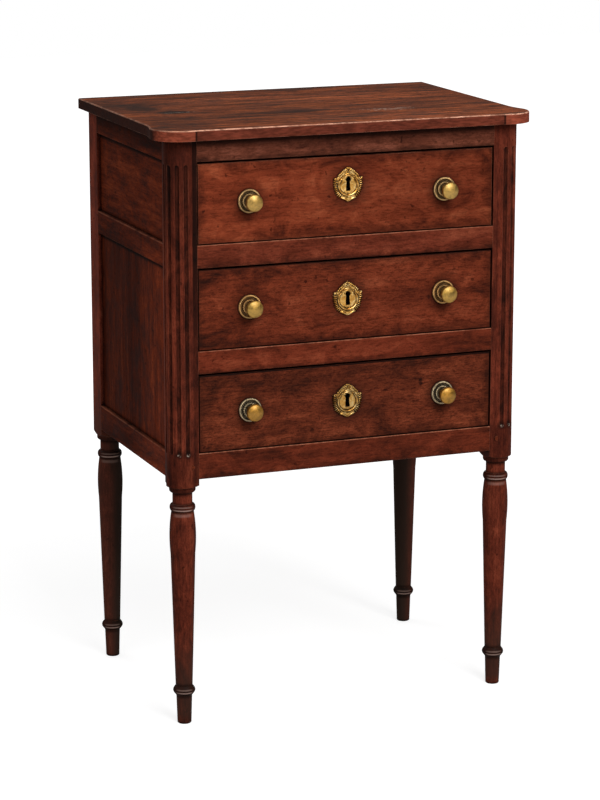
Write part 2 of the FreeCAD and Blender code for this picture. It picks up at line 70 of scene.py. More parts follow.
# Wood tones as sRGB, from the darkest to the lightest
# drawer fronts darker downwards: partly their own tone, partly painted shade of light falling off downwards
FRONT_TONES = {
    "upper": ((62, 24, 13), (101, 41, 22), (122, 53, 30), (147, 73, 45)),
    "middle": ((56, 23, 13), (93, 38, 21), (114, 49, 28), (139, 67, 42)),
    "lower": ((44, 19, 11), (80, 34, 19), (102, 45, 26), (130, 63, 39))}
RAIL_TONES = {
    "front_top_rail": ((52, 25, 17), (82, 41, 28), (100, 52, 36), (126, 70, 52)),
    "front_upper_divider": ((54, 22, 12), (87, 36, 21), (107, 46, 29), (133, 65, 43)),
    "front_lower_divider": ((55, 22, 12), (90, 36, 20), (111, 46, 27), (138, 65, 41)),
    "front_bottom_rail": ((51, 21, 12), (84, 34, 19), (104, 43, 25), (131, 61, 38))}
BACK_TONES = ((52, 21, 11), (82, 33, 17), (102, 43, 23), (128, 60, 34))
POST_TONES = ((46, 19, 13), (79, 33, 22), (103, 44, 29), (137, 65, 44))
# rear posts lighter than the front ones: painted light where they stand in shade
REAR_TONES = ((68, 29, 20), (106, 45, 31), (130, 57, 40), (158, 80, 58))
SIDE_TONES = ((42, 15, 7), (75, 28, 14), (98, 38, 19), (132, 58, 32))
TOP_TONES = ((47, 29, 21), (84, 44, 26), (117, 58, 32), (154, 83, 46))
INNER_TONES = ((98, 62, 35), (134, 90, 55), (158, 109, 69), (182, 131, 87))
TONE_PLACES = (-1.0, -0.35, 0.2, 1.0)  # places of the four tones, as shares of the spread
TONE_SPREAD = 0.13

# Tones of wear, dirt, painted shade and painted highlights as sRGB
# pale edges: partly wear, partly painted highlight
WEAR_AND_HIGHLIGHT_TONE = (178, 112, 84)
# bright painted highlight along the arris of the top, partly wear
TOP_WEAR_AND_HIGHLIGHT_TONE = (226, 166, 138)
# dark colour of dirt, and of painted shade in corners, grooves and under overhangs
GRIME_AND_SHADE_TONE = (14, 8, 6)
GAP_TONE = (6, 3, 2)
STAIN_TONE = (30, 22, 18)
# dark colour of soot on the front legs, and of painted shade on the rear legs
LEG_SOOT_AND_SHADE_TONE = (54, 40, 33)
TOP_EDGE_TONE = (98, 45, 32)
# painted light on the round front corners of the top
TOP_CORNER_LIT_TONE = (138, 66, 47)
CHIP_TONE = (190, 176, 160)
# painted highlights on the rings and body of the legs
RING_HIGHLIGHT_TONE = (206, 172, 158)

# Metal tones as sRGB, and what each tone is made darker and lighter by
IRON_TONES = ((48, 44, 42), (66, 60, 56), (84, 76, 68))
IRON_DIRT = (26, 18, 14)
KNOB_TONES = {"upper": (181, 145, 76), "middle": (175, 138, 67), "lower": (171, 125, 51)}
KNOB_SHARES = (0.85, 1.0, 1.12)
# dark colour of dirt in the knobs' hollows, and of painted shade on their necks
KNOB_DIRT_AND_SHADE = (38, 25, 12)
ROSE_TONES = {"upper": (192, 158, 108), "middle": (190, 148, 94), "lower": (178, 160, 128)}
ROSE_SHARES = (0.86, 1.0, 1.14)
ROSE_GROOVES = {"upper": (36, 23, 12), "middle": (66, 41, 21), "lower": (16, 11, 7)}
GILT_TONES = ((186, 130, 50), (220, 166, 82), (250, 213, 142))
GILT_DIRT = (34, 16, 4)
# escutcheons darker on the lower drawers: painted shade of light falling off downwards
PLATE_SHADE_BY_DRAWER = {"upper": 1.0, "middle": 0.93, "lower": 0.82}

# Wood and metal surfaces, in millimetres
# reach of dirt and painted shade in the corners of wood
GRIME_AND_SHADE_REACH = 6.0
EDGE_REACH = 1.0
WOOD_RELIEF = 0.6
METAL_RELIEF = 0.3
NECK_FADE = 6.0

# Posts and turned legs, in millimetres; pairs are a radius and a height
LEG_X = 210.0
FRONT_LEG_Y = -134.0
REAR_LEG_Y = 154.0
POST_HALF = 16.25
POST_TOP = 727.0
COLUMN_RADIUS = 19.6
DIAGONAL = 45.0  # the way that the column's middle faces
FLUTE_TURNS = (-49.05, -16.35, 16.35, 49.05)
FLUTE_RADIUS = 3.2
FLUTE_AXIS = COLUMN_RADIUS + 1.0
FLUTE_LOW = 344.5
FLUTE_HIGH = 697.5
FLUTE_END_STEPS = 6
FLUTE_END_LIP = 0.01  # from a flute's end to the plain column
STRIP_X = 199.2  # the flat strip between column and drawers ends here
FOOT_RADIUS = 8.7
FOOT_BEVEL = (0.8, 1.0)
FOOT_TOP = (9.8, 36.0)
LOWER_RING = (36.0, 49.5, 10.0, 13.8, 3.0)  # low, high, inner and outer radius, keenness of the rim
BODY_LOW = (10.5, 49.5)
BODY_HIGH = (15.2, 217.9)
SWELL = (16.1, 247.9)
SWELL_STEPS = 14
BODY_TOP = (13.8, 271.4)
UPPER_RING = (271.4, 280.9, 12.6, 15.8, 0.9)
NECK_RADIUS = 12.2
NECK_LOW = UPPER_RING[1] + 1.0
NECK_TOP = 295.0
OVOLO = (16.2, 298.4)
OVOLO_STEPS = 6
COLLAR_TOP = 301.6
SHOULDER_RISE = 0.5
COARSE_TURN = 5.0
FINE_TURNS = 120

# Drawer fittings, in millimetres
FACE_Y = -148.75
KNOB_X = 127.5
KNOB_Z = {"lower": 393.5, "middle": 521.0, "upper": 649.5}
PLATE_Z = {"lower": 393.5, "middle": 521.0, "upper": 661.5}

# Knobs and roses: points are a radius and a distance out from the face, in millimetres
KNOB_NECK = ((4.4, 0.2), (4.0, 2.0), (3.8, 6.0), (3.8, 11.0), (4.4, 13.0), (6.0, 14.6), (9.2, 15.8))
KNOB_ARCS = (  # each goes on through a point to its end, in steps
    ((10.5, 17.0), (10.5, 19.2), 8),
    ((10.0, 20.7), (8.9, 21.5), 6),
    ((4.7, 23.2), (0.3, 23.8), 10))
KNOB_SEGMENTS = 72
ROSE_EDGE = ((14.3, 0.0), (14.6, 0.5))
ROSE_BEAD = (13.3, 1.3, 1.3, 1.7)  # middle radius, half width, distance out, rise
ROSE_GROOVE = ((11.8, 0.2), (9.7, 0.2))
ROSE_RING = (8.2, 1.2, 1.4, 2.2)
ROSE_HOLLOW = ((6.9, 0.2), (4.6, 0.2))
ROSE_SEGMENTS = 352
MILLING = ((range(2, 10), 0.2, 44.0, 0.55), (range(14, 21), 0.4, 22.0, 0.0))  # rows, depth, count, slant
RIPPLE_OUT = 0.6  # share of its depth that milling stands out

# Escutcheons: the right half from the middle of the plate, in millimetres; the left half mirrors it
PLATE_HALF = (
    (0.0, -20.3), (8.2, -16.8), (13.6, -12.9), (16.3, -9.3), (18.0, -2.0), (18.7, 4.6),
    (18.2, 9.2), (14.2, 9.8), (12.0, 12.2), (8.0, 17.0), (4.8, 19.8), (0.0, 22.2))
PLATE_STEPS = 308
PARALLEL = 1e-9  # an aim this close to an edge runs along it
EDGE_SLACK = 1e-6  # an edge counts this share beyond its ends
FIELD = (12.6, 11.5, -0.2)  # half width and half height of the oval field, and its lift
KEY_ROUND = 3.2
KEY_ROUND_UP = 6.9
KEY_ROUND_STEPS = 24
KEY_SLOT_TOP = 2.1
KEY_SLOT_FOOT = 2.8
PLATE_RISE = (  # height of the plate from the keyhole, 0, over the edge of its field, 1, to its outline, 2
    (0.0, 1.3), (0.05, 1.9), (0.2, 1.9), (0.28, 1.5), (0.5, 1.4), (0.75, 1.7), (0.84, 1.1), (0.92, 2.3),
    (1.0, 2.8), (1.08, 2.3), (1.2, 1.1), (1.4, 1.5), (1.7, 1.5), (1.9, 1.1), (2.0, 0.5))
RAY_COUNT = 44
RAY_TURNS = (math.radians(32.0), math.radians(118.0))  # from the foot, on both sides
RAY_START = 1.15
RAY_REACH = 0.07
RAY_RISE = 0.9
RAY_STEEPNESS = 4.0  # how soon a ray reaches its full rise
CREST_ARC = ((14.0, 10.0), (8.4, 15.8), (1.8, 20.6))
CREST_COUNT = 7
CREST_BEAD = (1.5, 1.2)  # distance out and radius
HALF_STRANDS = (  # start, middle and end of an arc, thickness, distance out
    ((8.6, 8.2), (12.6, 1.0), (8.8, -8.4), 1.0, 2.4),
    ((10.4, -6.4), (6.4, -10.4), (0.4, -12.2), 1.2, 2.4),
    ((9.6, -15.0), (5.2, -16.2), (0.4, -19.4), 1.4, 1.3))
BROW_STRAND = ((-6.2, 11.6), (0.0, 13.9), (6.2, 11.6), 0.9, 1.9)
STRAND_STEPS = 16
STRAND_SIDES = 10
STRAND_END = 0.45  # thickness at the ends of a strand, as a share
HALF_BEADS = ((17.2, 8.4, 1.5, 1.5), (14.2, 8.2, 1.7, 1.2), (9.6, 11.4, 1.9, 1.2), (7.2, 10.4, 2.0, 0.9))
PEAK_BEAD = (0.0, 20.4, 1.9, 1.1)  # across, up, distance out, radius, as above
SCROLL_PLACE = (3.1, 17.0)
SCROLL_SIZE = 2.3
SCROLL_START = math.radians(200.0)
SCROLL_TURNS = -1.1
SCROLL_THICK = 0.75
SCROLL_STEPS = 34
SCROLL_WIND = 0.62  # share of its size that a scroll winds inwards
SCROLL_THIN = 0.45
SCROLL_OUT = 2.0
SCROLL_EYE = (2.1, 0.34)  # distance out, and size as a share of the scroll's

# Marks on the top board: middle x, middle y, half length, half width in millimetres, and strength
TOP_STAINS = (
    (40, 162, 110, 18, 0.6), (-66, -54, 84, 38, 0.5), (110, -34, 110, 30, 0.2), (190, 128, 60, 36, 0.3),
    (-215, 70, 40, 60, 0.4), (-205, -100, 50, 60, 0.5), (-120, 154, 90, 16, 0.35), (-200, 40, 28, 32, 0.85),
    (-172, -4, 26, 20, 0.95), (-176, -70, 34, 18, 0.6))
TOP_PALE = ((-80, 88, 100, 34, 0.5), (105, 55, 140, 38, 0.45), (70, -126, 180, 30, 0.6))
TOP_SCRATCHES = (
    (74, -64, 22, 0.8, 0.75), (96, -70, 18, 0.8, 0.85), (70, -76, 10, 0.7, 0.7), (90, -78, 26, 0.7, 0.7),
    (110, -62, 14, 0.6, 0.6), (-166, -8, 16, 0.6, 0.6))

# Other marks, in millimetres; a pair is where a mark starts to change and where the change ends
# painted light along the front of the top
TOP_LIT_FRONT_Y = (-167.5, -97.5)
TOP_FADE_X = (-200.0, 160.0)
TOP_REAR_DIRT_Y = (163.0, 171.0)
TOP_EDGE_Z = (738.5, 739.3)
TOP_CREASE_X = 199.86  # where the top's round corner meets its front edge
TOP_CREASE_Y = (-164.0, -160.0)
TOP_CREASE_WIDTH = (0.4, 1.8)
TOP_CORNER_X = (TOP_CREASE_X, TOP_CREASE_X + 3.0)
TOP_CORNER_REAR_Y = (-150.0, -136.0)
KNOB_SHADE = (13.0, 30.0)
PLATE_SHADE = (17.0, 38.0)
KNOT_SIZE = (1.2, 3.8)
FRONT_RIM = 15.0
FACE_DEPTH = (FACE_Y + 0.3, FACE_Y + 0.8)
RAIL_RIM = 9.0
RAIL_SHADE = (-11.0, -4.0)  # below the upper edge of the top rail
SIDE_FADE_Y = (-115.0, 30.0)
SIDE_FADE_Z = (570.0, 600.0)
# painted shadow on the side below the top
SIDE_TOP_SHADE_Z = (694.0, 716.0)
SIDE_SHADE = (4.0, 8.0)  # below a side rail
SIDE_SHADE_EDGE = (-0.2, 0.2)
SIDE_LINE_DROP = 0.7  # from the upper edge of a side rail to its rubbed line
SIDE_LINE_WIDTH = (0.3, 1.1)
# painted shade under the collar
COLLAR_SHADE_Z = (NECK_TOP - 6.0, NECK_TOP)
COLLAR_SHADE_END_Z = (OVOLO[1], COLLAR_TOP + 1.0)
RING_HIGHLIGHT_LINES = ((-1.9, 0.6), (1.9, 0.2))  # height from the middle of a ring, and strength
RING_HIGHLIGHT_WIDTH = (0.3, 1.3)
RING_HIGHLIGHT_AIM = (-0.3, -0.95, 0.0)  # the way that the side of a ring with painted highlights faces
# painted highlight band on the body below the upper ring
BODY_HIGHLIGHT_Z = BODY_TOP[1] - 3.6
BODY_HIGHLIGHT_WIDTH = (0.6, 3.0)
COLUMN_DIRT_AND_SHADE = (COLUMN_RADIUS - 1.6, COLUMN_RADIUS - 0.2)
COLUMN_FOOT_Z = (FLUTE_LOW - 1.0, FLUTE_LOW + 1.0)
BLOCK_FADE_Z = (FLUTE_LOW - 8.0, FLUTE_LOW + 12.0)
COLLAR_LIGHT_Z = (COLLAR_TOP, COLLAR_TOP + 6.0)
SOOT_Z = (80.0, 170.0)
SOOT_RAGGED = 60.0
FOOT_RUBBED_Z = (0.0, 14.0)
# dirt and painted shade on the strips beside the drawers, and painted shadow below the top
STRIP_DIRT_AND_SHADE_X = (STRIP_X, STRIP_X + 2.4)
STRIP_DIRT_AND_SHADE_Z = (340.0, 620.0)
HIGH_SHADE_Z = (560.0, 780.0)
HIGH_SHADE_RAGGED = 80.0
LEFT_TO_RIGHT_X = (-100.0, 100.0)
FLUTE_END_LIFT = 0.6
FLUTE_FILLING_Z = (FLUTE_LOW, FLUTE_LOW + 1.4)
FLUTE_FILLING = (1.4, 3.0)
FLUTE_END_DIRT = (2.4, 8.0)
# painted shade on the rear legs
REAR_LEG_SHADE = (-6.0, 10.0)  # outwards from the middle of the leg
REAR_LEG_SHADE_Z = (300.0, 400.0)

# Marks of single drawer fronts, with lengths in millimetres
KNOTS = {"upper": (), "middle": (), "lower": ((98.5, 411.6), (98.8, 407.4))}  # x and z
FADE = {"upper": (1.16, 0.84), "middle": (1.02, 0.98), "lower": (1.02, 1.02)}  # light at both ends
GAP_SHADOWS = {"upper": 0.0, "middle": 0.6, "lower": 1.5}  # dark line below the gap above
GAP_SHADOW_EDGE = (-0.3, 0.1)
FRONT_WEAR = {"upper": 0.4, "middle": 0.1, "lower": 0.04}  # strength of the pale edges
DARK_TOPS = ("upper", "middle")  # fronts with a dark rim along the top too


# Shader helpers
def tone(colour):
    """A linear colour from sRGB values of 0 to 255."""
    linear = [((c / 255.0 + 0.055) / 1.055) ** 2.4 if c > 10 else c / 255.0 / 12.92 for c in colour]
    return (*linear, 1.0)


def lighter(colour, share):
    return [share * value for value in colour]


def is_output(value):
    return isinstance(value, bpy.types.NodeSocket)


def add(tree, kind, inputs=(), **settings):
    """A shader node; each input is a value or another node's output."""
    node = tree.nodes.new("ShaderNode" + kind)
    for name, value in settings.items():
        setattr(node, name, value)
    for key, value in dict(inputs).items():
        if is_output(value):
            tree.links.new(value, node.inputs[key])
        else:
            node.inputs[key].default_value = value
    return node


def calc(operation, first, second=0.0):
    """The result of two values; at least one of them is a node's output."""
    tree = (first if is_output(first) else second).id_data
    return add(tree, "Math", {0: first, 1: second}, operation=operation).outputs[0]


def chain(operation, *values):
    """The same for any number of values, one after another."""
    return reduce(partial(calc, operation), values)


def vector(operation, first, second=(0.0, 0.0, 0.0), output="Vector"):
    node = add(first.id_data, "VectorMath", {0: first, 1: second}, operation=operation)
    return node.outputs[output]


plus = partial(chain, "ADD")
less = partial(chain, "SUBTRACT")
times = partial(chain, "MULTIPLY")
most = partial(chain, "MAXIMUM")
least = partial(chain, "MINIMUM")
size_of = partial(calc, "ABSOLUTE")
measure = partial(vector, output="Value")  # a single value from vectors, such as a length


def axes_of(value):
    return tuple(add(value.id_data, "SeparateXYZ", {0: value}).outputs)


def span(value, low, high, start=0.0, end=1.0):
    """The value carried smoothly from the range low to high into start to end."""
    limits = {"Value": value, "From Min": low, "From Max": high, "To Min": start, "To Max": end}
    return add(value.id_data, "MapRange", limits, interpolation_type="SMOOTHSTEP").outputs[0]


def span_mm(value, limits, start=0.0, end=1.0):
    """The same for a value in metres, with its two limits in millimetres."""
    return span(value, limits[0] * MM, limits[1] * MM, start, end)


def line_at(value, middle, width, strength):
    """A mask of a line; the width is where it starts to fade and where it ends, in millimetres."""
    return span_mm(size_of(less(value, middle * MM)), width, strength, 0.0)


def near(place, spots, width):
    """A mask round some spots, full within the first width and gone at the second, in millimetres."""
    apart = [measure("DISTANCE", place, [value * MM for value in spot]) for spot in spots]
    return span_mm(least(*apart), width, 1.0, 0.0)


def noise(place, scale, detail=4.0, roughness=0.55, distortion=0.0):
    inputs = {"Vector": place, "Scale": scale, "Detail": detail}
    inputs.update({"Roughness": roughness, "Distortion": distortion})
    return add(place.id_data, "TexNoise", inputs).outputs[0]


def mixed(first, second, *masks):
    """The first colour with the second where all masks say so; each is an output or sRGB values."""
    share = times(*masks)
    first, second = [colour if is_output(colour) else tone(colour) for colour in (first, second)]
    return add(share.id_data, "Mix", {0: share, 6: first, 7: second}, data_type="RGBA").outputs[2]


def shaded(colour, *shares):
    """The colour made darker or lighter by shares that vary over the surface."""
    share = times(*shares)
    level = add(share.id_data, "CombineXYZ", {0: share, 1: share, 2: share}).outputs[0]
    return vector("MULTIPLY", colour, level)


def ramp(value, stops):
    """Colours along a value; the stops are places with sRGB colours."""
    node = add(value.id_data, "ValToRGB", {"Fac": value})
    elements = node.color_ramp.elements
    while len(elements) < len(stops):
        elements.new(0.5)
    for element, (place, colour) in zip(elements, stops):
        element.position = place
        element.color = tone(colour)
    return node.outputs[0]


def new_material(name):
    """A material, its empty shader tree and the place on the piece."""
    material = bpy.data.materials.new(name)
    material.use_nodes = True
    tree = material.node_tree
    tree.nodes.clear()
    return material, tree, add(tree, "TexCoord").outputs["Object"]


def finish_material(tree, inputs):
    shader = add(tree, "BsdfPrincipled", inputs)
    add(tree, "OutputMaterial", {"Surface": shader.outputs[0]})


# Wood
def wood_noises(moved, grain, figure, fine, draw):
    """Broad bands and streaks along the grain, cloudy mottling, short dark pores and fine specks."""

    def drawn_out(share):
        stretch = [1.0, 1.0, 1.0]
        stretch[grain] = share
        return vector("MULTIPLY", moved, stretch)

    return {
        "bands": noise(drawn_out(0.12), figure, distortion=1.2),
        "streaks": noise(drawn_out(draw), fine, detail=6.0, roughness=0.72, distortion=0.4),
        "clouds": noise(drawn_out(0.62), 1.7 * figure, detail=8.0, roughness=0.7, distortion=0.9),
        "pores": noise(drawn_out(0.22), 520.0, detail=3.0, roughness=0.7),
        "specks": noise(drawn_out(0.6), 760.0, detail=2.0, roughness=0.8)}


def wood_colour(noises, tones, streaky, cloudy, grit, contrast):
    """The tones mixed by bands, clouds and streaks, with pores and specks."""
    broad = plus(times(noises["bands"], 1.0 - cloudy), times(noises["clouds"], cloudy))
    blend = plus(times(broad, 1.0 - streaky), times(noises["streaks"], streaky))
    places = [0.5 + share * TONE_SPREAD / contrast for share in TONE_PLACES]
    pores = span(noises["pores"], 0.34, 0.54, 1.0 - 0.34 * grit, 1.0 + 0.06 * grit)
    specks = span(noises["specks"], 0.3, 0.7, 1.0 - 0.16 * grit, 1.0 + 0.16 * grit)
    return shaded(ramp(blend, list(zip(places, tones))), pores, specks)


def edge_wear_and_highlight(tree, moved, faces, wear, line):
    """The normal rounded over sharp edges, and a mask of their wear and painted highlight.

    A line adds painted highlight, partly wear, on the slanting faces along upper edges, most at the front
    and none at the rear."""
    rounded = add(tree, "Bevel", {"Radius": EDGE_REACH * MM}, samples=4).outputs[0]
    edge = span(measure("DOT_PRODUCT", rounded, faces["Normal"]), 0.995, 0.90)
    rubbed = span(noise(moved, 38.0, detail=5.0, roughness=0.65), 0.36, 0.6)
    broken = noise(moved, 130.0, roughness=0.65)
    _, ahead, up = axes_of(faces["True Normal"])
    # painted highlight, partly wear, on slanting faces along upper edges that face up and to the front
    slant = times(
        span(up, 0.3, 0.5), span(up, 0.88, 0.96, 1.0, 0.0),
        span(ahead, -0.6, -0.2, 1.0, 0.34), span(ahead, 0.2, 0.5, 1.0, 0.0),
        span(broken, 0.4, 0.56, 0.4, 1.0), span(rubbed, 0.0, 0.8, 0.5 * line, line))
    return rounded, most(times(edge, rubbed, wear), slant)


def wood(name, grain, tones, seed, age=None, figure=22.0, fine=170.0, draw=0.08, streaky=0.22, cloudy=0.62,
         grit=1.0, contrast=1.0, gloss=0.55, wear=0.4, line=0.0, level=0.05, wear_and_highlight_tone=WEAR_AND_HIGHLIGHT_TONE):
    """Old polished wood whose grain runs along axis 0, 1 or 2; age adds the marks of a single piece."""
    material, tree, place = new_material(name)
    moved = vector("ADD", place, (0.37 * seed, 0.23 * seed, 0.51 * seed))
    faces = add(tree, "NewGeometry").outputs
    noises = wood_noises(moved, grain, figure, fine, draw)
    clouds = noises["clouds"]
    colour = wood_colour(noises, tones, streaky, cloudy, grit, contrast)

    # dark end grain, dents and the marks of the piece
    end_grain = size_of(axes_of(faces["Normal"])[grain])
    dents = noise(moved, 120.0, detail=2.0, roughness=0.5)
    colour = shaded(colour, span(end_grain, 0.55, 0.95, 1.0, 0.34), span(dents, 0.68, 0.74, 1.0, 0.45))
    if age:
        colour = age(place, clouds, colour)

    # dirt and painted shade in the corners, then pale edges, partly wear and partly painted highlight
    hidden = add(tree, "AmbientOcclusion", {"Distance": GRIME_AND_SHADE_REACH * MM}, samples=6).outputs["AO"]
    grime_and_shade = span(hidden, 0.45, 0.94, 0.92, 0.0)
    rounded, wear_and_highlight = edge_wear_and_highlight(tree, moved, faces, wear, line)
    colour = mixed(mixed(colour, GRIME_AND_SHADE_TONE, grime_and_shade), wear_and_highlight_tone, wear_and_highlight)

    # surface: open pores, soft unevenness, duller where dirt and painted shade lie
    relief = plus(times(noises["pores"], 0.6), times(noises["streaks"], 0.4))
    uneven = {"Strength": 0.2, "Distance": WOOD_RELIEF * MM, "Height": relief, "Normal": rounded}
    bump = add(tree, "Bump", uneven)
    dull = span(plus(clouds, times(grime_and_shade, 0.5)), 0.3, 0.9, gloss - 0.1, gloss + 0.2)
    finish_material(tree, {
        "Base Color": colour, "Roughness": dull, "Normal": bump.outputs[0], "Specular IOR Level": level})
    return material


# Metal
def metal(name, tones, hollow, gloss, seed, reach=2.8, clean=0.8, coat=0.0, neck=0.0):
    """Cast and turned metal, bright on the raised parts and dirty in hollows of a reach in millimetres.

    A neck adds painted shade on a knob's neck, up to that distance from the drawer's face."""
    material, tree, place = new_material(name)
    moved = vector("ADD", place, (0.19 * seed, 0.41 * seed, 0.29 * seed))
    patches = noise(moved, 160.0, detail=5.0, roughness=0.62, distortion=0.6)
    grains = noise(moved, 1400.0, detail=3.0, roughness=0.6)
    colour = ramp(patches, list(zip((0.35, 0.5, 0.65), tones)))
    colour = shaded(colour, span(grains, 0.3, 0.7, 0.86, 1.1))
    hidden = add(tree, "AmbientOcclusion", {"Distance": reach * MM}, samples=8).outputs["AO"]
    dirt_and_shade = span(hidden, clean - 0.35, clean, 1.0, 0.0)
    if neck:
        # painted shade on a knob's neck, behind its head
        out = less(FACE_Y * MM, axes_of(place)[1])
        dirt_and_shade = most(dirt_and_shade, span_mm(out, (neck - NECK_FADE, neck), 0.82, 0.0))
    colour = mixed(colour, hollow, dirt_and_shade)
    dull = span(patches, 0.35, 0.7, gloss - 0.08, gloss + 0.14)
    dull = plus(dull, times(dirt_and_shade, 0.3))
    bump = add(tree, "Bump", {"Strength": 0.12, "Distance": METAL_RELIEF * MM, "Height": grains})
    bare = span(dirt_and_shade, 0.2, 1.0, 1.0, 0.1)
    finish_material(tree, {
        "Base Color": colour, "Metallic": bare, "Roughness": dull, "Normal": bump.outputs[0],
        "Specular IOR Level": 0.1, "Coat Weight": coat, "Coat Roughness": 0.3})
    return material


# Marks of age, painted shade and painted highlights that single pieces carry; each gives back the colour
# with its marks
def along_edges(place, clouds, sides, reach, strength):
    """A ragged mask along sides of a piece: each has an axis, a place in metres and the way inwards."""
    axes = axes_of(place)
    apart = [times(less(axes[axis], at), inwards) for axis, at, inwards in sides]
    ragged = times(less(clouds, 0.5), 2.4 * reach * MM)
    return span_mm(plus(least(*apart), ragged), (0.0, reach), strength, 0.0)


def front_age(drawer):
    """Marks of a drawer front: dark halos round fittings, partly dirt and partly painted shadow, a dark rim
    along edges, knots, a painted shadow at the top.
    """
    low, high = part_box(drawer + "_drawer_front")
    sides = [(0, low.x, 1.0), (0, high.x, -1.0), (2, low.z, 1.0)]
    if drawer in DARK_TOPS:
        sides.append((2, high.z, -1.0))
    knob_spots = [(side * KNOB_X, FACE_Y, KNOB_Z[drawer]) for side in (-1, 1)]
    plate_spots = [(0.0, FACE_Y, PLATE_Z[drawer])]
    knot_spots = [(x, FACE_Y, z) for x, z in KNOTS[drawer]]
    gap_z = [high.z / MM - GAP_SHADOWS[drawer] + edge for edge in GAP_SHADOW_EDGE]

    def age(place, clouds, colour):
        x, y, z = axes_of(place)
        # painted shadow, partly dirt, round the knobs and the escutcheon
        dirt_and_shade = most(near(place, knob_spots, KNOB_SHADE), near(place, plate_spots, PLATE_SHADE))
        dirt_and_shade = times(dirt_and_shade, span(clouds, 0.34, 0.62, 0.1, 0.62))
        if knot_spots:
            knots = near(place, knot_spots, KNOT_SIZE)
            dirt_and_shade = most(dirt_and_shade, times(knots, span(clouds, 0.4, 0.6, 0.9, 0.55)))
        dirt_and_shade = most(dirt_and_shade, along_edges(place, clouds, sides, FRONT_RIM, 0.42))
        colour = shaded(colour, span(x, low.x, high.x, *FADE[drawer]))
        colour = mixed(colour, GRIME_AND_SHADE_TONE, dirt_and_shade)
        if not GAP_SHADOWS[drawer]:
            return colour
        # painted shadow line below the gap above the front
        return mixed(colour, GAP_TONE, span_mm(z, gap_z, 0.0, 0.94), span_mm(y, FACE_DEPTH, 1.0, 0.0))

    return age


def rail_age(node):
    """A dark ragged rim along the lower edge of a front rail, and painted shadow under the overhang of the
    top.
    """
    low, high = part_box(node)
    sides = [(2, low.z, 1.0)]
    shade_z = [high.z / MM + edge for edge in RAIL_SHADE]

    def age(place, clouds, colour):
        dirt_and_shade = along_edges(place, clouds, sides, RAIL_RIM, 0.5)
        if node == "front_top_rail":
            # painted shadow under the overhang of the top
            dirt_and_shade = most(dirt_and_shade, span_mm(axes_of(place)[2], shade_z, 0.0, 0.75))
        return mixed(colour, GRIME_AND_SHADE_TONE, dirt_and_shade)

    return age


def side_age(place, clouds, colour):
    """Marks of the sides: panels lighter at the front, painted shadow below the top and the rails, rubbed
    upper edges.
    """
    _, depth, height = axes_of(place)
    fade = less(span_mm(depth, SIDE_FADE_Y, 1.66, 0.6), 1.0)
    fade = times(fade, span_mm(height, SIDE_FADE_Z, 1.0, 0.2))
    colour = shaded(colour, plus(1.0, fade))
    # painted shadow below the top, and on the panels below the middle and top rails
    dirt_and_shade = span_mm(height, SIDE_TOP_SHADE_Z, 0.0, 0.62)
    for node in ("left_middle_rail", "left_top_rail"):
        below = less(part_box(node)[0].z, height)
        shade = times(span_mm(below, SIDE_SHADE, 0.85, 0.0), span_mm(below, SIDE_SHADE_EDGE))
        dirt_and_shade = most(dirt_and_shade, shade)
    colour = mixed(colour, GRIME_AND_SHADE_TONE, dirt_and_shade)
    edges = [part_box(node)[1].z / MM for node in ("left_bottom_rail", "left_middle_rail")]
    lines = [line_at(height, edge - SIDE_LINE_DROP, SIDE_LINE_WIDTH, 0.36) for edge in edges]
    return mixed(colour, WEAR_AND_HIGHLIGHT_TONE, most(*lines), span(clouds, 0.36, 0.52))


def patches_on_top(place, clouds, patches, ragged):
    """A mask of long ragged patches on the top board."""
    stray = times(less(clouds, 0.5), ragged)
    masks = []
    for x, y, half_length, half_width, strength in patches:
        aside = vector("SUBTRACT", place, (x * MM, y * MM, 0.0))
        squeeze = (1.0 / (half_length * MM), 1.0 / (half_width * MM), 0.0)
        apart = measure("LENGTH", vector("MULTIPLY", aside, squeeze))
        masks.append(span(plus(apart, stray), 0.35, 1.15, strength, 0.0))
    return most(*masks)


def top_edge(place, clouds):
    """Colour of the top board's edge: painted light round its front corners, and painted shade on the side
    edges behind them.
    """
    x, y, _ = axes_of(place)
    corner = span_mm(size_of(x), TOP_CORNER_X)
    # painted light on the round front corners
    edge = mixed(TOP_EDGE_TONE, TOP_CORNER_LIT_TONE, corner)
    # painted shade on the side edges behind the corners
    edge = mixed(edge, GRIME_AND_SHADE_TONE, corner, span_mm(y, TOP_CORNER_REAR_Y, 0.0, 0.9))
    drawn = noise(vector("MULTIPLY", place, (0.2, 0.5, 1.0)), 420.0)
    return shaded(edge, span(clouds, 0.36, 0.64, 0.76, 1.24), span(drawn, 0.36, 0.64, 0.72, 1.28))


def top_age(place, clouds, colour):
    """Marks of the top board: painted light along the front, pale and dark patches, a dirty rear, painted
    shade in creases, and scratches.
    """
    x, y, z = axes_of(place)
    pale = plus(1.0, patches_on_top(place, clouds, TOP_PALE, 2.2))
    # painted light along the front of the top
    colour = shaded(colour, span_mm(y, TOP_LIT_FRONT_Y, 1.22, 1.0), span_mm(x, TOP_FADE_X, 0.86, 1.03), pale)
    colour = mixed(colour, STAIN_TONE, patches_on_top(place, clouds, TOP_STAINS, 2.0))
    colour = mixed(colour, GRIME_AND_SHADE_TONE, span_mm(y, TOP_REAR_DIRT_Y, 0.0, 0.7))
    colour = mixed(colour, top_edge(place, clouds), span_mm(z, TOP_EDGE_Z, 0.92, 0.0))
    # painted shade in the creases where the round corners meet the front edge
    crease = line_at(size_of(x), TOP_CREASE_X, TOP_CREASE_WIDTH, 0.85)
    colour = mixed(colour, GRIME_AND_SHADE_TONE, crease, span_mm(y, TOP_CREASE_Y, 1.0, 0.0))
    return mixed(colour, CHIP_TONE, patches_on_top(place, noise(place, 240.0), TOP_SCRATCHES, 6.0))


